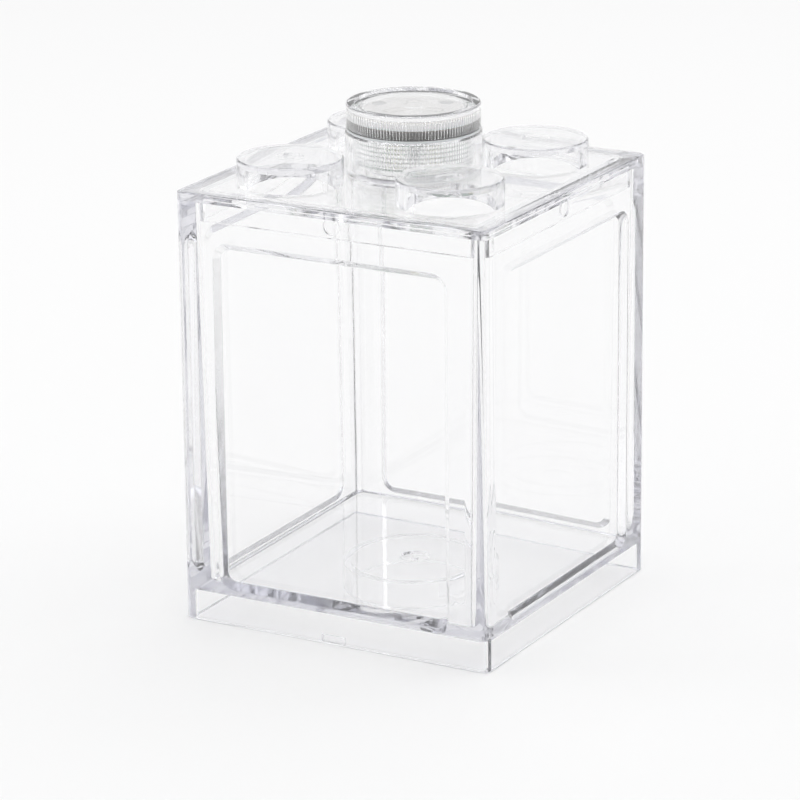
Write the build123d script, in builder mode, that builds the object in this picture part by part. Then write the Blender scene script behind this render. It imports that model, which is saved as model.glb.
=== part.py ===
from build123d import *
import os
from math import cos, pi, sin

os.makedirs("parts", exist_ok=True)

# Desktop aquarium: a clear moulded column with a lift-off cover that carries four
# hollow studs and a twist-on lamp. Millimetres, +Z up, origin under the middle of
# the tank where it stands. The front wall faces -Y.

# Tank
tank_side = 80.0
tank_rim_z = 100.7
corner_radius = 2.0
rim_wall = 3.6
foot_wall = 5.0
inner_corner_radius = 2.5
floor_top_z = 9.0
floor_thickness = 2.0
skirt_wall = 2.0
skirt_corner_radius = 1.0
rim_round = 0.4
floor_round = 0.8

# Windows, sunk into the outside of the four walls
window_width = 60.6
window_sill_z = 8.8
window_head_z = 91.8
window_depth = 1.6
window_bevel = 1.6
window_radius = 4.0
window_edge_round = 0.4
window_root_round = 0.4

# Marks of the mould on the tank
floor_dimple_radius = 3.5
floor_dimple_depth = 0.6
gate_mark_width = 6.0
gate_mark_height = 1.7
gate_mark_z = 1.4
gate_mark_depth = 0.5

# Cover
plate_thickness = 2.0
lip_depth = 5.0
lip_wall = 1.6
lip_clearance = 0.3
snap_radius = 1.9
snap_drop = 2.0
snap_proud = 0.15
snap_dimple_depth = 0.5
snap_clearance = 0.15

# Studs on the cover, and the tube under the floor that a lower tank's studs close on
stud_gap = 1.174
stud_radius = 12.3
stud_height = 5.9
stud_wall = 1.9
stud_top = 1.8
stud_edge = 0.4
stud_dimple_radius = 3.3
stud_dimple_depth = 0.5
nub_radius = 0.9
nub_height = 0.4
tube_clearance = 0.17
tube_wall = 1.8
tube_lift = 0.6

# Lamp body, a cup that stands on the cover with a spigot in its hole
lamp_radius = 15.8
lamp_body_height = 10.3
lamp_wall = 1.8
lamp_floor = 1.6
lamp_edge = 0.4
spigot_inset = 2.6
spigot_length = 1.8
spigot_clearance = 0.3
shelf_height = 7.7
shelf_margin = 0.2
shelf_wall = 1.2

# Lens cap, with a fluted bore and a ridged neck that screws into the lamp body
cap_step = 0.3
cap_height = 5.7
cap_top = 1.7
cap_edge = 0.4
cap_rim_width = 2.1
cap_rim_height = 0.6
neck_clearance = 0.3
neck_wall = 1.5
neck_length = 6.8
ridge_count = 6
ridge_pitch = 1.05
ridge_depth = 0.35
flute_count = 100
flute_depth = 0.45
press_boss_radius = 2.2
press_gap = 0.2

# Seal between lamp body and lens cap
seal_thickness = 0.6
seal_margin = 0.3

# Light module inside the lamp
board_clearance = 0.6
board_thickness = 1.0
pad_radius = 2.4
pad_thickness = 0.2
tray_clearance = 0.3
tray_wall = 1.6
tray_hub = 2.1
cell_count = 3
cell_height = 3.6
cell_clearance = 0.15
contact_thickness = 0.2
contact_margin = 0.5
contact_hub_radius = 2.4
contact_leg_width = 2.4
contact_slit = 0.4
led_radius = 2.5
led_length = 5.0
led_flange_radius = 2.9
led_flange = 0.9
screw_inset = 3.0
screw_radius = 0.9
screw_length = 8.0
screw_head_radius = 1.7
screw_head_height = 1.0
screw_clearance = 0.1
screw_boss_radius = 1.9

# Sizes worked out from the ones above
half_side = tank_side / 2
inner_rim = tank_side - 2 * rim_wall
inner_foot = tank_side - 2 * foot_wall
floor_under_z = floor_top_z - floor_thickness
skirt_inner = tank_side - 2 * skirt_wall
cover_top_z = tank_rim_z + plate_thickness
lip_outer = inner_rim - 2 * lip_clearance
snap_z = tank_rim_z - snap_drop
stud_bore = stud_radius - stud_wall
stud_top_z = cover_top_z + stud_height
stud_diagonal = lamp_radius + stud_gap + stud_radius
stud_pitch = stud_diagonal * 2 ** 0.5
tube_radius = stud_diagonal - stud_radius - tube_clearance
spigot_radius = lamp_radius - spigot_inset
lamp_hole = spigot_radius + spigot_clearance
lamp_top_z = cover_top_z + lamp_body_height
lamp_bore = lamp_radius - lamp_wall
shelf_z = cover_top_z + lamp_floor + shelf_height
neck_radius = lamp_bore - neck_clearance
bore_radius = neck_radius - neck_wall
cap_radius = lamp_radius - cap_step
cap_foot_z = lamp_top_z + seal_thickness
cap_top_z = cap_foot_z + cap_height
cap_ceiling_z = cap_top_z - cap_top
neck_foot_z = lamp_top_z - neck_length
board_radius = bore_radius - board_clearance
shelf_radius = board_radius - shelf_margin
board_top_z = shelf_z + board_thickness
cell_foot_z = board_top_z + pad_thickness
cell_top_z = cell_foot_z + cell_height
contact_top_z = cell_top_z + contact_thickness
tray_radius = bore_radius - tray_clearance
pocket_radius = (tray_radius - tray_wall - tray_hub) / 2
cell_radius = pocket_radius - cell_clearance
cell_circle = tray_hub + pocket_radius
screw_circle = tray_radius - screw_inset
tray_top_z = cell_top_z
contact_radius = tray_radius - contact_margin
leg_length = cell_circle + contact_leg_width
screw_seat_z = tray_top_z - screw_head_height
screw_tip_z = screw_seat_z - screw_length


# Tank: drafted walls with a rim, sunk windows, a floor, and a skirt with the clutch tube under it
with BuildPart() as window_cut:
    with BuildSketch(Plane.XZ.offset(half_side)):
        with Locations((0, (window_sill_z + window_head_z) / 2)):
            RectangleRounded(window_width, window_head_z - window_sill_z, window_radius)
    with BuildSketch(Plane.XZ.offset(half_side - window_depth)):
        with Locations((0, (window_sill_z + window_head_z) / 2)):
            RectangleRounded(
                window_width - 2 * window_bevel,
                window_head_z - window_sill_z - 2 * window_bevel,
                window_radius - window_bevel,
            )
    loft(ruled=True)
    fillet(window_cut.faces().sort_by(Axis.Y)[-1].outer_wire().edges(), window_root_round)

with BuildPart() as snap_dimple:
    with BuildSketch(Plane.XZ.offset(inner_rim / 2 - rim_wall / 2)):
        with Locations((0, snap_z)):
            Circle(snap_radius + snap_clearance)
    extrude(amount=rim_wall / 2 + snap_dimple_depth)

with BuildPart() as tank_body:
    with BuildSketch():
        RectangleRounded(tank_side, tank_side, corner_radius)
    extrude(amount=tank_rim_z)
    with BuildSketch(Plane.XY.offset(floor_top_z)):
        RectangleRounded(inner_foot, inner_foot, inner_corner_radius)
    with BuildSketch(Plane.XY.offset(tank_rim_z)):
        RectangleRounded(inner_rim, inner_rim, inner_corner_radius)
    loft(ruled=True, mode=Mode.SUBTRACT)
    with BuildSketch():
        RectangleRounded(skirt_inner, skirt_inner, skirt_corner_radius)
    extrude(amount=floor_under_z, mode=Mode.SUBTRACT)
    with BuildSketch(Plane.XY.offset(tube_lift)):
        Circle(tube_radius)
        Circle(tube_radius - tube_wall, mode=Mode.SUBTRACT)
    extrude(amount=floor_under_z - tube_lift)
    with PolarLocations(0, 4):
        add(window_cut.part, mode=Mode.SUBTRACT)
        add(snap_dimple.part, mode=Mode.SUBTRACT)
    with BuildSketch(Plane.XY.offset(floor_top_z)):
        Circle(floor_dimple_radius)
    extrude(amount=-floor_dimple_depth, mode=Mode.SUBTRACT)
    with BuildSketch(Plane.XY.offset(floor_top_z - floor_dimple_depth)):
        Circle(nub_radius)
    extrude(amount=nub_height)
    with BuildSketch(Plane.XZ.offset(half_side)):
        with Locations((0, gate_mark_z)):
            Rectangle(gate_mark_width, gate_mark_height)
    extrude(amount=-gate_mark_depth, mode=Mode.SUBTRACT)
    tank_foot = tank_body.faces().filter_by(Axis.Z).sort_by(Axis.Z)[0]
    fillet(tank_foot.outer_wire().edges(), rim_round)
    for side in (Axis.X, Axis.Y):
        for wall in (tank_body.faces().sort_by(side)[0], tank_body.faces().sort_by(side)[-1]):
            window_rim = wall.inner_wires().sort_by(SortBy.LENGTH)[-1]
            fillet(window_rim.edges(), window_edge_round)
    floor_face = tank_body.faces().filter_by_position(Axis.Z, floor_top_z, floor_top_z)[0]
    fillet(floor_face.outer_wire().edges(), floor_round)
tank_body.part.label = "tank_body"
export_step(tank_body.part, "parts/tank_body.step")


# Cover: plate, locating lip with snap pips, four hollow studs, lamp hole
with BuildPart() as snap_pip:
    with BuildSketch(Plane.XZ.offset(lip_outer / 2)):
        with Locations((0, snap_z)):
            Circle(snap_radius)
    extrude(amount=snap_proud)

with BuildPart() as stud_cut:
    with BuildSketch(Plane.XY.offset(stud_top_z)):
        Circle(stud_dimple_radius)
    extrude(amount=-stud_dimple_depth)
    with BuildSketch(Plane.XY.offset(tank_rim_z)):
        Circle(stud_bore)
    extrude(amount=plate_thickness + stud_height - stud_top)

with BuildPart() as cover:
    with BuildSketch(Plane.XY.offset(tank_rim_z)):
        RectangleRounded(tank_side, tank_side, corner_radius)
    extrude(amount=plate_thickness)
    plate_rim = cover.faces().sort_by(Axis.Z)[-1].outer_wire()
    fillet(plate_rim.edges(), rim_round)
    with BuildSketch(Plane.XY.offset(tank_rim_z)):
        RectangleRounded(lip_outer, lip_outer, inner_corner_radius)
        RectangleRounded(
            lip_outer - 2 * lip_wall,
            lip_outer - 2 * lip_wall,
            inner_corner_radius - lip_wall,
            mode=Mode.SUBTRACT,
        )
    extrude(amount=-lip_depth)
    with BuildSketch(Plane.XY.offset(cover_top_z)):
        with GridLocations(stud_pitch, stud_pitch, 2, 2):
            Circle(stud_radius)
    extrude(amount=stud_height)
    chamfer(cover.edges().filter_by(GeomType.CIRCLE).group_by(Axis.Z)[-1], stud_edge)
    with GridLocations(stud_pitch, stud_pitch, 2, 2):
        add(stud_cut.part, mode=Mode.SUBTRACT)
    with BuildSketch(Plane.XY.offset(stud_top_z - stud_dimple_depth)):
        with GridLocations(stud_pitch, stud_pitch, 2, 2):
            Circle(nub_radius)
    extrude(amount=nub_height)
    with BuildSketch(Plane.XY.offset(tank_rim_z)):
        Circle(lamp_hole)
    extrude(amount=plate_thickness, mode=Mode.SUBTRACT)
    with PolarLocations(0, 4):
        add(snap_pip.part)
cover.part.label = "cover"
export_step(cover.part, "parts/cover.step")


# Lamp body: cup with a flat foot, spigot, inner shelf and three screw bosses
with BuildPart() as lamp_body:
    with BuildSketch(Plane.XY.offset(cover_top_z)):
        Circle(lamp_radius)
    extrude(amount=lamp_body_height)
    chamfer(lamp_body.edges().group_by(Axis.Z)[-1], lamp_edge)
    with BuildSketch(Plane.XY.offset(cover_top_z + lamp_floor)):
        Circle(lamp_bore)
    extrude(amount=lamp_body_height - lamp_floor, mode=Mode.SUBTRACT)
    with BuildSketch(Plane.XY.offset(cover_top_z)):
        Circle(spigot_radius)
    extrude(amount=-spigot_length)
    with BuildSketch(Plane.XY.offset(cover_top_z + lamp_floor)):
        Circle(shelf_radius)
        Circle(shelf_radius - shelf_wall, mode=Mode.SUBTRACT)
        with PolarLocations(screw_circle, cell_count, start_angle=180 / cell_count):
            Circle(screw_boss_radius)
    extrude(amount=shelf_height)
    with BuildSketch(Plane.XY.offset(screw_tip_z - screw_clearance)):
        with PolarLocations(screw_circle, cell_count, start_angle=180 / cell_count):
            Circle(screw_radius + screw_clearance)
    extrude(amount=shelf_z - screw_tip_z + screw_clearance, mode=Mode.SUBTRACT)
lamp_body.part.label = "lamp_body"
export_step(lamp_body.part, "parts/lamp_body.step")


# Seal ring: a flat ring that lies on the lamp body's rim
with BuildPart() as seal_ring:
    with BuildSketch(Plane.XY.offset(lamp_top_z)):
        Circle(cap_radius - seal_margin)
        Circle(lamp_bore, mode=Mode.SUBTRACT)
    extrude(amount=seal_thickness)
seal_ring.part.label = "seal_ring"
export_step(seal_ring.part, "parts/seal_ring.step")


# Lens cap: head with a rim, ridged neck, and a bore whose flutes scatter the light
ridge_points = []
for ridge in range(ridge_count):
    ridge_z = neck_foot_z + (ridge + 0.5) * ridge_pitch
    ridge_points.append((neck_radius - ridge_depth, ridge_z - ridge_pitch / 2))
    ridge_points.append((neck_radius, ridge_z))
ridge_points.append((neck_radius - ridge_depth, neck_foot_z + ridge_count * ridge_pitch))

flute_points = []
for flute in range(flute_count):
    for step, radius in ((0, bore_radius), (0.5, bore_radius + flute_depth)):
        angle = 2 * pi * (flute + step) / flute_count
        flute_points.append((radius * cos(angle), radius * sin(angle)))

with BuildPart() as lens_cap:
    with BuildSketch(Plane.XZ):
        with BuildLine():
            Polyline(
                (0, neck_foot_z),
                *ridge_points,
                (neck_radius - ridge_depth, cap_foot_z),
                (cap_radius, cap_foot_z),
                (cap_radius, cap_top_z),
                (cap_radius - cap_rim_width, cap_top_z),
                (cap_radius - cap_rim_width, cap_top_z - cap_rim_height),
                (0, cap_top_z - cap_rim_height),
                close=True,
            )
        make_face()
    revolve(axis=Axis.Z)
    chamfer(lens_cap.edges().group_by(Axis.Z)[-1].sort_by(SortBy.LENGTH)[-1], cap_edge)
    with BuildSketch(Plane.XY.offset(neck_foot_z)):
        with BuildLine():
            Polyline(*flute_points, close=True)
        make_face()
    extrude(amount=cap_ceiling_z - neck_foot_z, mode=Mode.SUBTRACT)
    with BuildSketch(Plane.XY.offset(contact_top_z + press_gap)):
        Circle(press_boss_radius)
    extrude(amount=cap_ceiling_z - contact_top_z - press_gap)
lens_cap.part.label = "lens_cap"
export_step(lens_cap.part, "parts/lens_cap.step")


# Circuit board on the shelf, with a window for each screw and one contact pad for each cell
with BuildPart() as circuit_board:
    with BuildSketch(Plane.XY.offset(shelf_z)):
        Circle(board_radius)
        with PolarLocations(screw_circle, cell_count, start_angle=180 / cell_count):
            Circle(screw_radius + screw_clearance, mode=Mode.SUBTRACT)
    extrude(amount=board_thickness)
circuit_board.part.label = "circuit_board"
export_step(circuit_board.part, "parts/circuit_board.step")

with BuildPart() as contact_pads:
    with BuildSketch(Plane.XY.offset(board_top_z)):
        with PolarLocations(cell_circle, cell_count):
            Circle(pad_radius)
    extrude(amount=pad_thickness)
contact_pads.part.label = "contact_pads"
export_step(contact_pads.part, "parts/contact_pads.step")


# Battery tray: a dark disc with a pocket for each cell and sunk seats for the screws
with BuildPart() as battery_tray:
    with BuildSketch(Plane.XY.offset(board_top_z)):
        Circle(tray_radius)
        with PolarLocations(cell_circle, cell_count):
            Circle(pocket_radius, mode=Mode.SUBTRACT)
        with PolarLocations(screw_circle, cell_count, start_angle=180 / cell_count):
            Circle(screw_radius + screw_clearance, mode=Mode.SUBTRACT)
    extrude(amount=tray_top_z - board_top_z)
    with BuildSketch(Plane.XY.offset(screw_seat_z)):
        with PolarLocations(screw_circle, cell_count, start_angle=180 / cell_count):
            Circle(screw_head_radius + screw_clearance)
    extrude(amount=screw_head_height, mode=Mode.SUBTRACT)
battery_tray.part.label = "battery_tray"
export_step(battery_tray.part, "parts/battery_tray.step")


# Button cells, each a can with a raised smaller face below
cell_step = 0.5
for number, spot in enumerate(PolarLocations(cell_circle, cell_count), start=1):
    with BuildPart() as button_cell:
        with BuildSketch(Plane.XY.offset(cell_foot_z)):
            with Locations(spot.position):
                Circle(cell_radius - cell_step)
        extrude(amount=cell_step)
        with BuildSketch(Plane.XY.offset(cell_foot_z + cell_step)):
            with Locations(spot.position):
                Circle(cell_radius)
        extrude(amount=cell_height - cell_step)
    button_cell.part.label = f"button_cell_{number}"
    export_step(button_cell.part, f"parts/button_cell_{number}.step")


# Contact plate: lies on tray and cells; slits free three sprung legs, one to press on each cell
with BuildPart() as contact_plate:
    with BuildSketch(Plane.XY.offset(cell_top_z)):
        Circle(contact_radius)
        with PolarLocations(screw_circle, cell_count, start_angle=180 / cell_count):
            Circle(screw_head_radius + screw_clearance, mode=Mode.SUBTRACT)
        with PolarLocations(cell_circle / 2, cell_count):
            SlotOverall(leg_length + 2 * contact_slit, contact_leg_width + 2 * contact_slit, mode=Mode.SUBTRACT)
        with PolarLocations(cell_circle / 2, cell_count):
            SlotOverall(leg_length, contact_leg_width)
        Circle(contact_hub_radius)
    extrude(amount=contact_thickness)
contact_plate.part.label = "contact_plate"
export_step(contact_plate.part, "parts/contact_plate.step")


# Light-emitting diode, pointing down into the tank
with BuildPart() as light_diode:
    with BuildSketch(Plane.XY.offset(shelf_z)):
        Circle(led_flange_radius)
    extrude(amount=-led_flange)
    with BuildSketch(Plane.XY.offset(shelf_z - led_flange)):
        Circle(led_radius)
    extrude(amount=led_flange - led_length)
    dome_edge = light_diode.edges().filter_by(GeomType.CIRCLE).sort_by(Axis.Z)[0]
    fillet(dome_edge, led_radius * 0.8)
light_diode.part.label = "light_diode"
export_step(light_diode.part, "parts/light_diode.step")


# Three screws through tray and board into the bosses of the lamp body
with BuildPart() as tray_screws:
    with BuildSketch(Plane.XY.offset(screw_tip_z)):
        with PolarLocations(screw_circle, cell_count, start_angle=180 / cell_count):
            Circle(screw_radius)
    extrude(amount=screw_length)
    with BuildSketch(Plane.XY.offset(screw_seat_z)):
        with PolarLocations(screw_circle, cell_count, start_angle=180 / cell_count):
            Circle(screw_head_radius)
    extrude(amount=screw_head_height)
tray_screws.part.label = "tray_screws"
export_step(tray_screws.part, "parts/tray_screws.step")
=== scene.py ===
import logging
import math
from dataclasses import dataclass, field
from enum import Enum
from typing import Any, Sequence

import bmesh
import bpy
from mathutils import Matrix, Vector


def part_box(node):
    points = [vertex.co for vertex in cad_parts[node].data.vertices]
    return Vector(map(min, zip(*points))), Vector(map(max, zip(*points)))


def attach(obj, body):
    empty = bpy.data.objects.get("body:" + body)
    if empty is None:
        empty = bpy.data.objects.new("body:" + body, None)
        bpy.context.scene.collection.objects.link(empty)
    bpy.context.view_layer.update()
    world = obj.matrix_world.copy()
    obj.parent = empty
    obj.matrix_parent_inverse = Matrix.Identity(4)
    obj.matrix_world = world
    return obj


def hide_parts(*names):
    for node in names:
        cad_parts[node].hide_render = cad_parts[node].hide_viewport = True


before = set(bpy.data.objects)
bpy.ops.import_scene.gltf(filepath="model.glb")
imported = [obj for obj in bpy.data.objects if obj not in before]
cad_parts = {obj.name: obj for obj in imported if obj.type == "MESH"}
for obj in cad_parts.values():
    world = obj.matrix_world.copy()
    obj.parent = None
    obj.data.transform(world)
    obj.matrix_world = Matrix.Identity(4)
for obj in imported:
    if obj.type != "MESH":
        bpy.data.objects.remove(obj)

LOG = logging.getLogger("desktop_aquarium")
MM = 0.001
AIR_FILM = 0.015 * MM
WELD = 0.0005 * MM
FLAT_DEGREES = 0.3
ON_AXIS = 1e-9

Profile = Sequence[tuple[float, float]]


def linear(hex_colour: str) -> tuple[float, float, float, float]:
    """Turns an sRGB hex colour into Blender's linear colour.

    Args:
        hex_colour: Six hex digits after a hash, such as "#C8D2E6".

    Returns:
        Linear red, green, blue and an alpha of 1.
    """
    parts = [int(hex_colour[i:i + 2], 16) / 255 for i in (1, 3, 5)]
    turned = [c / 12.92 if c <= 0.04045 else ((c + 0.055) / 1.055) ** 2.4 for c in parts]
    return (turned[0], turned[1], turned[2], 1.0)


def add_node(
    tree: bpy.types.NodeTree,
    kind: str,
    settings: dict[str, Any] | None = None,
    values: dict[str | int, Any] | None = None,
    links: dict[str | int, bpy.types.NodeSocket] | None = None,
) -> bpy.types.Node:
    """Adds one node with its settings, socket values and incoming links.

    Args:
        tree: The tree that the node joins.
        kind: The node's bl_idname.
        settings: Attributes of the node itself.
        values: Values of its input sockets, by name or place.
        links: Output sockets of other nodes, by the name or place of this node's input.

    Returns:
        The new node.
    """
    node = tree.nodes.new(kind)
    for name, value in (settings or {}).items():
        setattr(node, name, value)
    for name, value in (values or {}).items():
        node.inputs[name].default_value = value
    for name, source in (links or {}).items():
        tree.links.new(source, node.inputs[name])
    return node


class Grain(Enum):
    """The fine surface that moulding or forming leaves."""

    POLISHED = "polished"
    SPARKED = "sparked"
    TURNED = "turned"


@dataclass(frozen=True)
class ClearStyrene:
    """Clear general-purpose polystyrene, injection-moulded against a polished steel mould.

    It is water-clear across a thin wall, with slow ripples where the melt flowed, and it turns
    lavender blue where light runs along inside a wall, at edges and corners.
    """

    name: str
    tint_hex: str = "#D2D2E3"
    absorption_per_m: float = 5.0
    ior: float = 1.59
    roughness: float = 0.012
    ripple_mm: float = 16.0
    ripple_depth_mm: float = 0.012
    haze: float = 0.05
    haze_mm: float = 9.0
    haze_from: float = 0.52
    haze_to: float = 0.78
    clearness: float = 0.985

    def material(self) -> bpy.types.Material:
        """Builds the clear plastic with flow ripples, faint handling haze and a tinted body.

        Returns:
            The material.
        """
        material = bpy.data.materials.new(self.name)
        material.use_nodes = True
        tree = material.node_tree
        shader = tree.nodes["Principled BSDF"]
        shader.inputs["Base Color"].default_value = linear("#FFFFFF")
        shader.inputs["Transmission Weight"].default_value = self.clearness
        shader.inputs["IOR"].default_value = self.ior
        place = add_node(tree, "ShaderNodeTexCoord")
        ripple = add_node(
            tree,
            "ShaderNodeTexNoise",
            values={"Scale": 1 / (self.ripple_mm * MM), "Detail": 1.0, "Roughness": 0.4},
            links={"Vector": place.outputs["Object"]},
        )
        bump = add_node(
            tree,
            "ShaderNodeBump",
            values={"Strength": 1.0, "Distance": self.ripple_depth_mm * MM},
            links={"Height": ripple.outputs["Fac"]},
        )
        smudge = add_node(
            tree,
            "ShaderNodeTexNoise",
            values={"Scale": 1 / (self.haze_mm * MM), "Detail": 6.0, "Roughness": 0.65},
            links={"Vector": place.outputs["Object"]},
        )
        rough = add_node(
            tree,
            "ShaderNodeMapRange",
            values={
                "From Min": self.haze_from,
                "From Max": self.haze_to,
                "To Min": self.roughness,
                "To Max": self.roughness + self.haze,
            },
            links={"Value": smudge.outputs["Fac"]},
        )
        tree.links.new(rough.outputs["Result"], shader.inputs["Roughness"])
        tree.links.new(bump.outputs["Normal"], shader.inputs["Normal"])
        body = add_node(
            tree,
            "ShaderNodeVolumeAbsorption",
            values={"Color": linear(self.tint_hex), "Density": self.absorption_per_m},
        )
        tree.links.new(body.outputs["Volume"], tree.nodes["Material Output"].inputs["Volume"])
        return material


@dataclass(frozen=True)
class Solid:
    """An opaque finish: a base colour with soft mottling, and a grain that breaks its gloss."""

    name: str
    hex_colour: str
    second_hex: str
    roughness: float
    metallic: float = 0.0
    grain: Grain = Grain.SPARKED
    grain_mm: float = 0.6
    grain_depth_mm: float = 0.01
    grain_strength: float = 0.6
    grains_per_mottle: int = 6
    roughness_spread: float = 0.2
    grains_per_ring: int = 4
    polished_detail: float = 2.0
    sparked_detail: float = 8.0
    pale_top_hex: str = ""
    pale_from_mm: float = 0.0

    def material(self) -> bpy.types.Material:
        """Builds the mottled colour and the grain.

        Returns:
            The material.
        """
        material = bpy.data.materials.new(self.name)
        material.use_nodes = True
        tree = material.node_tree
        shader = tree.nodes["Principled BSDF"]
        shader.inputs["Metallic"].default_value = self.metallic
        place = add_node(tree, "ShaderNodeTexCoord")
        mottle = add_node(
            tree,
            "ShaderNodeTexNoise",
            values={"Scale": 1 / (self.grain_mm * self.grains_per_mottle * MM), "Detail": 5.0},
            links={"Vector": place.outputs["Object"]},
        )
        colour = add_node(
            tree,
            "ShaderNodeMix",
            settings={"data_type": "RGBA"},
            values={6: linear(self.hex_colour), 7: linear(self.second_hex)},
            links={"Factor": mottle.outputs["Fac"]},
        )
        shown = colour.outputs[2]
        # Above the set height the colour turns to a paler grey.
        if self.pale_top_hex:
            shown = self.paler_above(tree, place.outputs["Object"], shown)
        tree.links.new(shown, shader.inputs["Base Color"])
        rough = add_node(
            tree,
            "ShaderNodeMapRange",
            values={
                "To Min": self.roughness * (1 - self.roughness_spread),
                "To Max": self.roughness * (1 + self.roughness_spread),
            },
            links={"Value": mottle.outputs["Fac"]},
        )
        tree.links.new(rough.outputs["Result"], shader.inputs["Roughness"])
        bump = add_node(
            tree,
            "ShaderNodeBump",
            values={"Strength": self.grain_strength, "Distance": self.grain_depth_mm * MM},
            links={"Height": self.height(tree, place.outputs["Object"])},
        )
        tree.links.new(bump.outputs["Normal"], shader.inputs["Normal"])
        return material

    def paler_above(
        self, tree: bpy.types.NodeTree, place: bpy.types.NodeSocket, below: bpy.types.NodeSocket
    ) -> bpy.types.NodeSocket:
        """Colours the piece paler above one height.

        Args:
            tree: The material's tree.
            place: Object coordinates.
            below: The colour below that height.

        Returns:
            The socket that holds the colour.
        """
        apart = add_node(tree, "ShaderNodeSeparateXYZ", links={0: place})
        above = add_node(
            tree,
            "ShaderNodeMath",
            settings={"operation": "GREATER_THAN"},
            values={1: self.pale_from_mm * MM},
            links={0: apart.outputs["Z"]},
        )
        colour = add_node(
            tree,
            "ShaderNodeMix",
            settings={"data_type": "RGBA"},
            values={7: linear(self.pale_top_hex)},
            links={"Factor": above.outputs[0], 6: below},
        )
        return colour.outputs[2]

    def height(
        self, tree: bpy.types.NodeTree, place: bpy.types.NodeSocket
    ) -> bpy.types.NodeSocket:
        """Makes the grain's height.

        Args:
            tree: The material's tree.
            place: Object coordinates.

        Returns:
            The socket that holds the height.
        """
        scale = 1 / (self.grain_mm * MM)
        if self.grain is Grain.TURNED:
            rings = add_node(
                tree,
                "ShaderNodeTexWave",
                settings={"wave_type": "RINGS", "rings_direction": "Z"},
                values={"Scale": scale / self.grains_per_ring, "Distortion": 0.4},
                links={"Vector": place},
            )
            return rings.outputs["Fac"]
        polished = self.grain is Grain.POLISHED
        detail = self.polished_detail if polished else self.sparked_detail
        noise = add_node(
            tree,
            "ShaderNodeTexNoise",
            values={"Scale": scale, "Detail": detail},
            links={"Vector": place},
        )
        return noise.outputs["Fac"]


@dataclass(frozen=True)
class CastEpoxy:
    """Clear epoxy, cast round a diode: glossy, a little milky and faintly yellow."""

    name: str = "diode_cast_epoxy"
    body_hex: str = "#F4F1E4"
    cloud_hex: str = "#E9D98A"
    cloud_mm: float = 1.5
    clearness: float = 0.6
    ior: float = 1.52
    roughness: float = 0.08

    def material(self) -> bpy.types.Material:
        """Builds the epoxy with a cloudy phosphor in it.

        Returns:
            The material.
        """
        material = bpy.data.materials.new(self.name)
        material.use_nodes = True
        tree = material.node_tree
        shader = tree.nodes["Principled BSDF"]
        shader.inputs["Transmission Weight"].default_value = self.clearness
        shader.inputs["IOR"].default_value = self.ior
        shader.inputs["Roughness"].default_value = self.roughness
        place = add_node(tree, "ShaderNodeTexCoord")
        cloud = add_node(
            tree,
            "ShaderNodeTexNoise",
            values={"Scale": 1 / (self.cloud_mm * MM), "Detail": 3.0},
            links={"Vector": place.outputs["Object"]},
        )
        colour = add_node(
            tree,
            "ShaderNodeMix",
            settings={"data_type": "RGBA"},
            values={6: linear(self.body_hex), 7: linear(self.cloud_hex)},
            links={"Factor": cloud.outputs["Fac"]},
        )
        tree.links.new(colour.outputs[2], shader.inputs["Base Color"])
        return material


TANK_STYRENE = ClearStyrene("clear_styrene_tank")
COVER_STYRENE = ClearStyrene("clear_styrene_cover")
LAMP_STYRENE = ClearStyrene(
    "clear_styrene_lamp",
    tint_hex="#E6E6EC",
    absorption_per_m=3.0,
    roughness=0.03,
    haze=0.1,
    clearness=0.975,
)
SEAL_SILICONE = Solid("milky_silicone_seal", "#D9DCDD", "#C9CDCF", 0.5, grain_mm=0.8)
TRAY_ABS = Solid(
    "black_abs_tray",
    "#454240",
    "#52504D",
    0.42,
    grain_mm=0.5,
    # The tray is coloured paler above 115.3 mm.
    pale_top_hex="#E9E9EA",
    pale_from_mm=115.3,
)
BOARD_RESIST = Solid("green_solder_resist", "#1C5B3A", "#246B45", 0.35, grain_mm=0.7)
CONTACT_NICKEL = Solid(
    "plated_spring_contact", "#F5F4F2", "#ECEAE6", 0.22, 1.0, Grain.POLISHED, 0.9, 0.004
)
CELL_STEEL = Solid("turned_cell_steel", "#CFCFCC", "#BEBEBB", 0.25, 1.0, Grain.TURNED, 0.4, 0.004)
SCREW_ZINC = Solid("zinc_plated_screw", "#C4C5C6", "#B3B5B8", 0.3, 1.0, Grain.TURNED, 0.4, 0.004)
DIODE_EPOXY = CastEpoxy()


def mesh_object(name: str, mesh: bpy.types.Mesh) -> bpy.types.Object:
    """Wraps a mesh as an object at the origin.

    Args:
        name: The piece's name.
        mesh: Its mesh, in metres in the row frame.

    Returns:
        The object, linked to the scene.
    """
    piece = bpy.data.objects.new(name, mesh)
    bpy.context.scene.collection.objects.link(piece)
    return piece


def settle(piece: bpy.types.Object) -> None:
    """Turns a piece with modifiers into a plain mesh.

    Args:
        piece: The piece, whose modifiers are evaluated once and removed.
    """
    graph = bpy.context.evaluated_depsgraph_get()
    made = bpy.data.meshes.new_from_object(piece.evaluated_get(graph), depsgraph=graph)
    made.name = piece.name
    piece.modifiers.clear()
    piece.data = made


def rounded_normals(piece: bpy.types.Object, sharp_degrees: float) -> None:
    """Shades round faces smooth and keeps flat faces flat.

    Args:
        piece: The piece.
        sharp_degrees: Edges that turn by more than this stay sharp.
    """
    piece.data.shade_smooth()
    piece.data.set_sharp_from_angle(angle=math.radians(sharp_degrees))
    weigh = piece.modifiers.new("weigh_normals", "WEIGHTED_NORMAL")
    weigh.keep_sharp = True
    weigh.weight = 100
    settle(piece)


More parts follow.
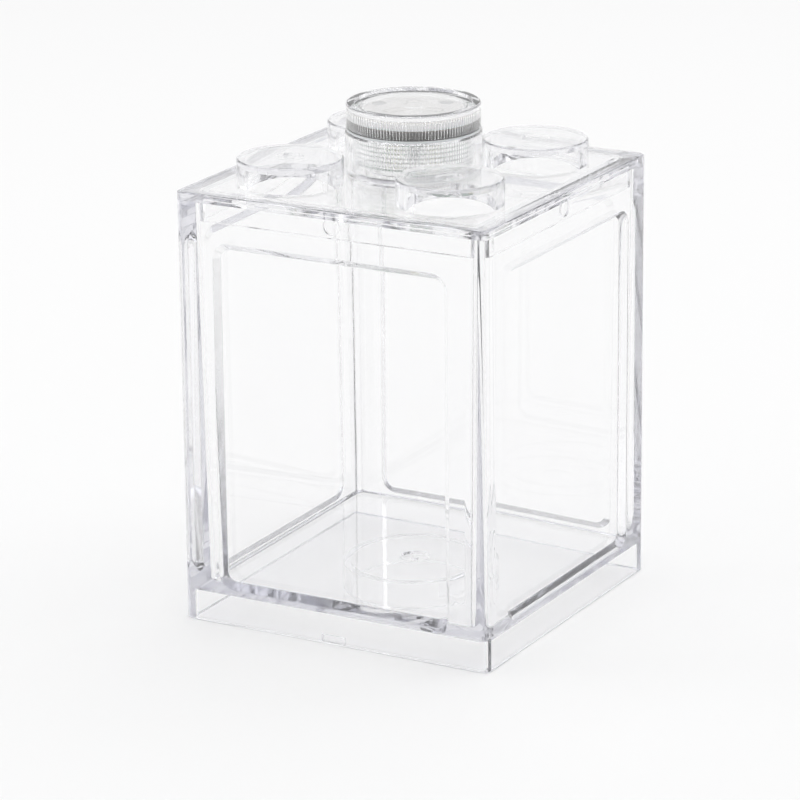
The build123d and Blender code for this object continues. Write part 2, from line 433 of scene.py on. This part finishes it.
def moulded_copy(node: str, name: str, sharp_degrees: float = 25.0) -> bpy.types.Object:
    """Copies a moulded node, joins its triangles, and shades its round faces smooth.

    Args:
        node: The CAD node, which the copy replaces.
        name: The copy's name.
        sharp_degrees: Edges that turn by more than this stay sharp.

    Returns:
        The copy.
    """
    piece = mesh_object(name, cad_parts[node].data.copy())
    form = bmesh.new()
    form.from_mesh(piece.data)
    bmesh.ops.remove_doubles(form, verts=form.verts, dist=WELD)
    bmesh.ops.dissolve_limit(
        form, angle_limit=math.radians(FLAT_DEGREES), verts=form.verts, edges=form.edges
    )
    for corner in form.verts:
        corner.co -= corner.normal * AIR_FILM
    form.to_mesh(piece.data)
    form.free()
    piece.data.materials.clear()
    rounded_normals(piece, sharp_degrees)
    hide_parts(node)
    return piece


def turned_form(name: str, profile: Profile, steps: int) -> bpy.types.Object:
    """Turns a closed half-section round the Z axis.

    Args:
        name: The piece's name.
        profile: Radius and height of each corner in metres; it starts and ends on the axis.
        steps: How many facets go round.

    Returns:
        The piece, with one vertex at each pole.
    """
    form = bmesh.new()
    rings = []
    for radius, height in profile:
        if radius < ON_AXIS:
            rings.append([form.verts.new((0, 0, height))])
            continue
        turns = [2 * math.pi * i / steps for i in range(steps)]
        rings.append(
            [form.verts.new((radius * math.cos(t), radius * math.sin(t), height)) for t in turns]
        )
    for lower, upper in zip(rings, rings[1:]):
        for i in range(steps):
            j = (i + 1) % steps
            if len(lower) == 1 and len(upper) > 1:
                form.faces.new((lower[0], upper[j], upper[i]))
            elif len(upper) == 1 and len(lower) > 1:
                form.faces.new((lower[i], lower[j], upper[0]))
            elif len(lower) > 1:
                form.faces.new((lower[i], lower[j], upper[j], upper[i]))
    bmesh.ops.recalc_face_normals(form, faces=form.faces)
    mesh = bpy.data.meshes.new(name)
    form.to_mesh(mesh)
    form.free()
    return mesh_object(name, mesh)


def dress(piece: bpy.types.Object, material: bpy.types.Material) -> None:
    """Gives a piece one material.

    Args:
        piece: A made piece or a CAD node.
        material: Its finish.
    """
    if not piece.data.materials:
        piece.data.materials.append(material)
    for slot in piece.material_slots:
        slot.material = material


@dataclass
class Tank:
    """The moulded column: four walls with sunk windows, a floor, a skirt and the tube under it."""

    node: str = "tank_body"
    body: str = "tank"

    def build(self) -> bpy.types.Object:
        """Makes the tank from its solid and gives it the clear plastic.

        Returns:
            The tank.
        """
        piece = moulded_copy(self.node, "tank_walls")
        dress(piece, TANK_STYRENE.material())
        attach(piece, self.body)
        LOG.info("tank: %d faces", len(piece.data.polygons))
        return piece


@dataclass
class Cover:
    """The lift-off cover with its lip and its four hollow studs."""

    node: str = "cover"
    body: str = "cover_lid"

    def build(self) -> bpy.types.Object:
        """Makes the cover from its solid and gives it the clear plastic.

        Returns:
            The cover.
        """
        piece = moulded_copy(self.node, "cover_plate")
        dress(piece, COVER_STYRENE.material())
        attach(piece, self.body)
        LOG.info("cover: %d faces", len(piece.data.polygons))
        return piece


@dataclass
class FluteTree:
    """Geometry Nodes that press flutes into a bore and ridges round a neck."""

    name: str = "flutes_and_ridges"
    tolerance: float = 0.05 * MM
    inputs: dict[str, str] = field(default_factory=dict)

    def build(self, material: bpy.types.Material) -> bpy.types.NodeTree:
        """Builds the tree.

        Args:
            material: The finish that the tree sets at its end.

        Returns:
            The tree; the identifiers of its inputs are kept in self.inputs.
        """
        tree = bpy.data.node_groups.new(self.name, "GeometryNodeTree")
        face = tree.interface
        face.new_socket("Geometry", in_out="INPUT", socket_type="NodeSocketGeometry")
        face.new_socket("Geometry", in_out="OUTPUT", socket_type="NodeSocketGeometry")
        for name in ("Flute Count", "Flute Depth", "Bore Radius", "Bore Foot", "Bore Head",
                     "Neck Radius", "Ridge Pitch", "Ridge Depth", "Ridge Foot", "Ridge Head"):
            socket = face.new_socket(name, in_out="INPUT", socket_type="NodeSocketFloat")
            self.inputs[name] = socket.identifier
        source = add_node(tree, "NodeGroupInput")
        place = add_node(tree, "GeometryNodeInputPosition")
        apart = add_node(tree, "ShaderNodeSeparateXYZ", links={0: place.outputs[0]})
        height = apart.outputs["Z"]
        flat = add_node(
            tree, "ShaderNodeCombineXYZ", links={0: apart.outputs["X"], 1: apart.outputs["Y"]}
        )
        radius = self.vector(tree, "LENGTH", flat.outputs[0]).outputs["Value"]
        outward = self.vector(tree, "NORMALIZE", flat.outputs[0]).outputs["Vector"]
        turn = self.maths(tree, "ARCTAN2", apart.outputs["Y"], apart.outputs["X"])
        share = self.maths(tree, "DIVIDE", turn, 2 * math.pi)
        flute = self.wave(tree, self.maths(tree, "MULTIPLY", share, source.outputs["Flute Count"]))
        in_bore = self.both(
            tree,
            self.near(tree, radius, source.outputs["Bore Radius"]),
            self.between(tree, height, source.outputs["Bore Foot"], source.outputs["Bore Head"]),
        )
        cut = self.maths(
            tree, "MULTIPLY", self.both(tree, flute, in_bore), source.outputs["Flute Depth"]
        )
        rise = self.maths(tree, "SUBTRACT", height, source.outputs["Ridge Foot"])
        ridge = self.wave(tree, self.maths(tree, "DIVIDE", rise, source.outputs["Ridge Pitch"]))
        on_neck = self.both(
            tree,
            self.near(tree, radius, source.outputs["Neck Radius"]),
            self.between(tree, height, source.outputs["Ridge Foot"], source.outputs["Ridge Head"]),
        )
        groove = self.maths(
            tree, "MULTIPLY", self.both(tree, ridge, on_neck), source.outputs["Ridge Depth"]
        )
        push = self.maths(tree, "SUBTRACT", cut, groove)
        shift = add_node(
            tree,
            "ShaderNodeVectorMath",
            settings={"operation": "SCALE"},
            links={0: outward, "Scale": push},
        )
        moved = add_node(
            tree,
            "GeometryNodeSetPosition",
            links={"Geometry": source.outputs["Geometry"], "Offset": shift.outputs["Vector"]},
        )
        real = add_node(tree, "GeometryNodeRealizeInstances", links={0: moved.outputs["Geometry"]})
        dressed = add_node(
            tree,
            "GeometryNodeSetMaterial",
            values={"Material": material},
            links={"Geometry": real.outputs[0]},
        )
        add_node(tree, "NodeGroupOutput", links={0: dressed.outputs["Geometry"]})
        return tree

    def maths(self, tree: bpy.types.NodeTree, operation: str, *terms: Any) -> bpy.types.NodeSocket:
        """Adds one sum.

        Args:
            tree: The tree that the sum joins.
            operation: What is done with the terms.
            *terms: Numbers or sockets, in order.

        Returns:
            The socket that holds the result.
        """
        values = {i: t for i, t in enumerate(terms) if isinstance(t, (int, float))}
        links = {i: t for i, t in enumerate(terms) if not isinstance(t, (int, float))}
        node = add_node(tree, "ShaderNodeMath", {"operation": operation}, values, links)
        return node.outputs[0]

    def vector(
        self, tree: bpy.types.NodeTree, operation: str, source: bpy.types.NodeSocket
    ) -> bpy.types.Node:
        """Adds one vector sum.

        Args:
            tree: The tree that the sum joins.
            operation: What is done with the source.
            source: The vector.

        Returns:
            The node of the sum.
        """
        return add_node(tree, "ShaderNodeVectorMath", {"operation": operation}, links={0: source})

    def wave(self, tree: bpy.types.NodeTree, turns: bpy.types.NodeSocket) -> bpy.types.NodeSocket:
        """Makes a rounded wave that is 0 at whole turns and 1 half-way between them.

        Args:
            tree: The tree that the wave joins.
            turns: How far along the wave a point lies, in turns.

        Returns:
            The socket that holds the wave.
        """
        angle = self.maths(tree, "MULTIPLY", turns, math.pi)
        return self.maths(tree, "ABSOLUTE", self.maths(tree, "SINE", angle))

    def near(
        self, tree: bpy.types.NodeTree, radius: bpy.types.NodeSocket, wanted: bpy.types.NodeSocket
    ) -> bpy.types.NodeSocket:
        """Gives 1 where the radius is the wanted one, within the tolerance.

        Args:
            tree: The tree that the test joins.
            radius: A point's distance from the axis.
            wanted: The radius that it is compared with.

        Returns:
            The socket that holds 1 or 0.
        """
        gap = self.maths(tree, "ABSOLUTE", self.maths(tree, "SUBTRACT", radius, wanted))
        return self.maths(tree, "LESS_THAN", gap, self.tolerance)

    def between(
        self,
        tree: bpy.types.NodeTree,
        height: bpy.types.NodeSocket,
        foot: bpy.types.NodeSocket,
        head: bpy.types.NodeSocket,
    ) -> bpy.types.NodeSocket:
        """Gives 1 where the height lies between foot and head.

        Args:
            tree: The tree that the test joins.
            height: A point's height.
            foot: The lower limit.
            head: The upper limit.

        Returns:
            The socket that holds 1 or 0.
        """
        above = self.maths(tree, "GREATER_THAN", height, foot)
        below = self.maths(tree, "LESS_THAN", height, head)
        return self.both(tree, above, below)

    def both(
        self, tree: bpy.types.NodeTree, one: bpy.types.NodeSocket, other: bpy.types.NodeSocket
    ) -> bpy.types.NodeSocket:
        """Keeps one value where the other is 1, and gives 0 where it is 0.

        Args:
            tree: The tree that the product joins.
            one: A test or a wave.
            other: A test.

        Returns:
            The socket that holds the product.
        """
        return self.maths(tree, "MULTIPLY", one, other)


@dataclass
class LensCap:
    """The clear upper half of the lamp: a rimmed head, a ridged neck and a fluted bore."""

    node: str = "lens_cap"
    body: str = "lamp_cap"
    neck_radius: float = 13.7 * MM
    neck_length: float = 6.8 * MM
    seal: float = 0.6 * MM
    bore_radius: float = 12.2 * MM
    top: float = 1.7 * MM
    rim_width: float = 2.1 * MM
    rim_height: float = 0.6 * MM
    edge_round: float = 0.5 * MM
    boss_radius: float = 2.2 * MM
    boss_height: float = 0.4 * MM
    seam: float = 0.05 * MM
    height_slack: float = 0.01 * MM
    foot_reach: float = 1.0 * MM
    lip_share: float = 0.6
    arc_steps: int = 5
    sharp_degrees: float = 40.0
    flutes: int = 110
    flute_depth: float = 0.17 * MM
    ridge_pitch: float = 1.05 * MM
    ridge_depth: float = 0.3 * MM
    ridges: int = 6
    steps_per_flute: int = 6
    steps_per_ridge: int = 6

    def profile(self) -> list[tuple[float, float]]:
        """Gives the half-section from the axis under the top round to the axis above it.

        Returns:
            Radius and height of each corner, in metres.
        """
        low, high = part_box(self.node)
        radius, foot, head = high.x, low.z, high.z
        shoulder = foot + self.neck_length + self.seal
        ceiling = head - self.top
        points = [
            (0.0, ceiling - self.boss_height),
            (self.boss_radius, ceiling - self.boss_height),
            (self.boss_radius, ceiling),
            (self.bore_radius, ceiling),
            (self.bore_radius, ceiling - self.seam),
            (self.bore_radius, foot + self.seam),
            (self.bore_radius, foot),
            (self.neck_radius, foot),
        ]
        rows = self.ridges * self.steps_per_ridge
        step = self.ridge_pitch / self.steps_per_ridge
        points += [(self.neck_radius, foot + (i + 1) * step) for i in range(rows)]
        points += [(self.neck_radius, shoulder), (radius, shoulder)]
        points += self.arc(radius - self.edge_round, head - self.edge_round, 0, 90)
        lip = radius - self.rim_width
        points += [
            (lip + self.edge_round * self.lip_share, head),
            (lip, head - self.rim_height),
            (0.0, head - self.rim_height),
        ]
        return points

    def arc(
        self, radius: float, height: float, start: float, end: float
    ) -> list[tuple[float, float]]:
        """Gives the points of a rounded edge.

        Args:
            radius: Radius at which the edge's centre lies.
            height: Height of that centre.
            start: First angle, in degrees.
            end: Last angle, in degrees.

        Returns:
            Radius and height of each point, in metres.
        """
        steps = self.arc_steps
        turns = [math.radians(start + (end - start) * i / steps) for i in range(steps + 1)]
        return [
            (radius + self.edge_round * math.cos(t), height + self.edge_round * math.sin(t))
            for t in turns
        ]

    def build(self, material: bpy.types.Material) -> bpy.types.Object:
        """Turns the cap, presses its flutes and ridges, and dresses it.

        Args:
            material: The clear plastic of the lamp.

        Returns:
            The cap.
        """
        piece = turned_form("lens_cap_clear", self.profile(), self.flutes * self.steps_per_flute)
        tree = FluteTree()
        pressed = piece.modifiers.new("flutes", "NODES")
        pressed.node_group = tree.build(material)
        low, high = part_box(self.node)
        ceiling = high.z - self.top
        sizes = {
            "Flute Count": float(self.flutes),
            "Flute Depth": self.flute_depth,
            "Bore Radius": self.bore_radius,
            "Bore Foot": low.z - self.foot_reach,
            "Bore Head": ceiling - self.height_slack,
            "Neck Radius": self.neck_radius,
            "Ridge Pitch": self.ridge_pitch,
            "Ridge Depth": self.ridge_depth,
            "Ridge Foot": low.z,
            "Ridge Head": low.z + self.ridges * self.ridge_pitch + self.height_slack,
        }
        for name, size in sizes.items():
            pressed[tree.inputs[name]] = size
        settle(piece)
        rounded_normals(piece, self.sharp_degrees)
        dress(piece, material)
        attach(piece, self.body)
        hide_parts(self.node)
        LOG.info("lens cap: %d faces", len(piece.data.polygons))
        return piece


@dataclass
class Lamp:
    """The lamp: a clear cup on the cover, a lens cap, and the light module between them."""

    body: str = "lamp"
    cap: LensCap = field(default_factory=LensCap)

    def build(self) -> None:
        """Makes the clear shells and dresses the pieces inside them."""
        clear = LAMP_STYRENE.material()
        cup = moulded_copy("lamp_body", "lamp_cup")
        dress(cup, clear)
        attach(cup, self.body)
        LOG.info("lamp cup: %d faces", len(cup.data.polygons))
        self.cap.build(clear)
        finishes = {
            "seal_ring": SEAL_SILICONE,
            "battery_tray": TRAY_ABS,
            "circuit_board": BOARD_RESIST,
            "contact_pads": CONTACT_NICKEL,
            "contact_plate": CONTACT_NICKEL,
            "light_diode": DIODE_EPOXY,
            "tray_screws": SCREW_ZINC,
        }
        for node, finish in finishes.items():
            dress(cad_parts[node], finish.material())
            LOG.info("%s: dressed", node)
        steel = CELL_STEEL.material()
        for node in sorted(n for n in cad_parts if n.startswith("button_cell")):
            dress(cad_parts[node], steel)
            LOG.info("%s: dressed", node)


@dataclass(frozen=True)
class Softbox:
    """One square light that faces the object."""

    name: str
    place: tuple[float, float, float]
    side: float
    watts: float
    aim: tuple[float, float, float] = (0.0, 0.0, 0.05)

    def build(self) -> None:
        """Hangs the light and turns it to the middle of the object."""
        data = bpy.data.lights.new(self.name, "AREA")
        data.size = self.side
        data.energy = self.watts
        light = bpy.data.objects.new(self.name, data)
        light.location = self.place
        towards = Vector(self.aim) - Vector(self.place)
        light.rotation_mode = "QUATERNION"
        light.rotation_quaternion = towards.to_track_quat("-Z", "Y")
        bpy.context.scene.collection.objects.link(light)


@dataclass(frozen=True)
class Room:
    """A bright room; light bent by the plastic meets a paler horizon and a cooler ceiling."""

    name: str = "bright_room"
    pale_hex: str = "#FAFAFA"
    pale_below: float = 0.15
    cool_hex: str = "#C9CAD6"
    cool_above: float = 0.85
    light_hex: str = "#FEFEFE"
    light_strength: float = 0.9

    def build(self) -> None:
        """Makes the world with its three backgrounds: lighting, through the plastic, and seen."""
        world = bpy.data.worlds.new(self.name)
        bpy.context.scene.world = world
        world.use_nodes = True
        tree = world.node_tree
        tree.nodes.clear()
        path = add_node(tree, "ShaderNodeLightPath")
        place = add_node(tree, "ShaderNodeTexCoord")
        apart = add_node(tree, "ShaderNodeSeparateXYZ", links={0: place.outputs["Generated"]})
        ramp = add_node(tree, "ShaderNodeValToRGB", links={0: apart.outputs["Z"]})
        low, high = ramp.color_ramp.elements
        low.position, low.color = self.pale_below, linear(self.pale_hex)
        high.position, high.color = self.cool_above, linear(self.cool_hex)
        seen = add_node(
            tree,
            "ShaderNodeBackground",
            values={"Color": linear(self.pale_hex), "Strength": 1.0},
        )
        bent = add_node(
            tree,
            "ShaderNodeBackground",
            values={"Strength": 1.0},
            links={"Color": ramp.outputs[0]},
        )
        lit = add_node(
            tree,
            "ShaderNodeBackground",
            values={"Color": linear(self.light_hex), "Strength": self.light_strength},
        )
        clear = add_node(
            tree,
            "ShaderNodeMath",
            settings={"operation": "MAXIMUM"},
            links={0: path.outputs["Is Transmission Ray"], 1: path.outputs["Is Glossy Ray"]},
        )
        direct = add_node(
            tree,
            "ShaderNodeMath",
            settings={"operation": "LESS_THAN"},
            values={1: 0.5},
            links={0: path.outputs["Diffuse Depth"]},
        )
        through = add_node(
            tree,
            "ShaderNodeMath",
            settings={"operation": "MULTIPLY"},
            links={0: clear.outputs[0], 1: direct.outputs[0]},
        )
        first = add_node(
            tree,
            "ShaderNodeMixShader",
            links={0: through.outputs[0], 1: lit.outputs[0], 2: bent.outputs[0]},
        )
        second = add_node(
            tree,
            "ShaderNodeMixShader",
            links={0: path.outputs["Is Camera Ray"], 1: first.outputs[0], 2: seen.outputs[0]},
        )
        add_node(tree, "ShaderNodeOutputWorld", links={"Surface": second.outputs[0]})


@dataclass
class Studio:
    """A pale floor, soft lights, a bright room and the camera at the photograph's angle."""

    azimuth: float = 29.294
    elevation: float = 17.403
    roll: float = -0.592
    distance: float = 0.9771
    target: tuple[float, float, float] = (-0.003276, -0.001838, 0.04777)
    focal_px: float = 4182.2
    frame_px: float = 800.0
    sensor_mm: float = 36.0
    near_clip: float = 0.01
    far_clip: float = 50.0
    floor_half: float = 4.0
    floor_hex: str = "#F0F0F0"
    floor_roughness: float = 0.9
    floor_gloss: float = 0.1
    clear_bounces: int = 32
    diffuse_bounces: int = 5
    transparent_bounces: int = 16
    softboxes: tuple[Softbox, ...] = (
        Softbox("softbox_above", (0.15, 0.35, 1.3), 1.4, 5.0),
        Softbox("softbox_left", (-1.2, -0.5, 0.7), 0.8, 2.0),
    )
    room: Room = Room()

    def build(self) -> None:
        """Builds the whole stage."""
        self.camera()
        self.floor()
        self.lights()
        self.room.build()
        bpy.context.scene.view_settings.view_transform = "Standard"
        cycles = bpy.context.scene.cycles
        cycles.max_bounces = self.clear_bounces
        cycles.transmission_bounces = self.clear_bounces
        cycles.glossy_bounces = self.clear_bounces
        cycles.diffuse_bounces = self.diffuse_bounces
        cycles.blur_glossy = 0.0
        cycles.transparent_max_bounces = self.transparent_bounces
        LOG.info("studio: ready")

    def camera(self) -> None:
        """Places the camera as the fit to the photograph gives it."""
        turn, lift, tilt = (math.radians(v) for v in (self.azimuth, self.elevation, self.roll))
        level = math.cos(lift)
        back = Vector((math.sin(turn) * level, -math.cos(turn) * level, math.sin(lift)))
        right = Vector((math.cos(turn), math.sin(turn), 0))
        upward = back.cross(right)
        across = right * math.cos(tilt) + upward * math.sin(tilt)
        above = upward * math.cos(tilt) - right * math.sin(tilt)
        data = bpy.data.cameras.new("camera")
        data.sensor_width = self.sensor_mm
        data.lens = self.focal_px / self.frame_px * self.sensor_mm
        data.clip_start, data.clip_end = self.near_clip, self.far_clip
        camera = bpy.data.objects.new("camera", data)
        axes = Matrix((across, above, back)).transposed().to_4x4()
        axes.translation = Vector(self.target) + back * self.distance
        camera.matrix_world = axes
        bpy.context.scene.collection.objects.link(camera)
        bpy.context.scene.camera = camera

    def floor(self) -> None:
        """Lays a large matt floor under the object."""
        form = bmesh.new()
        bmesh.ops.create_grid(form, x_segments=1, y_segments=1, size=self.floor_half)
        mesh = bpy.data.meshes.new("floor")
        form.to_mesh(mesh)
        form.free()
        mesh.transform(Matrix.Translation((0, 0, -2 * AIR_FILM)))
        piece = mesh_object("floor", mesh)
        material = bpy.data.materials.new("pale_floor")
        material.use_nodes = True
        shader = material.node_tree.nodes["Principled BSDF"]
        shader.inputs["Base Color"].default_value = linear(self.floor_hex)
        shader.inputs["Roughness"].default_value = self.floor_roughness
        shader.inputs["Specular IOR Level"].default_value = self.floor_gloss
        dress(piece, material)

    def lights(self) -> None:
        """Hangs a large softbox above and a weaker one at the left."""
        for softbox in self.softboxes:
            softbox.build()


def main() -> None:
    """Builds the stage and the three sub-assemblies in order."""
    logging.basicConfig(level=logging.INFO, format="%(name)s: %(message)s")
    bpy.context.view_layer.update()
    Studio().build()
    Tank().build()
    Cover().build()
    Lamp().build()


if __name__ == "__main__":
    main()
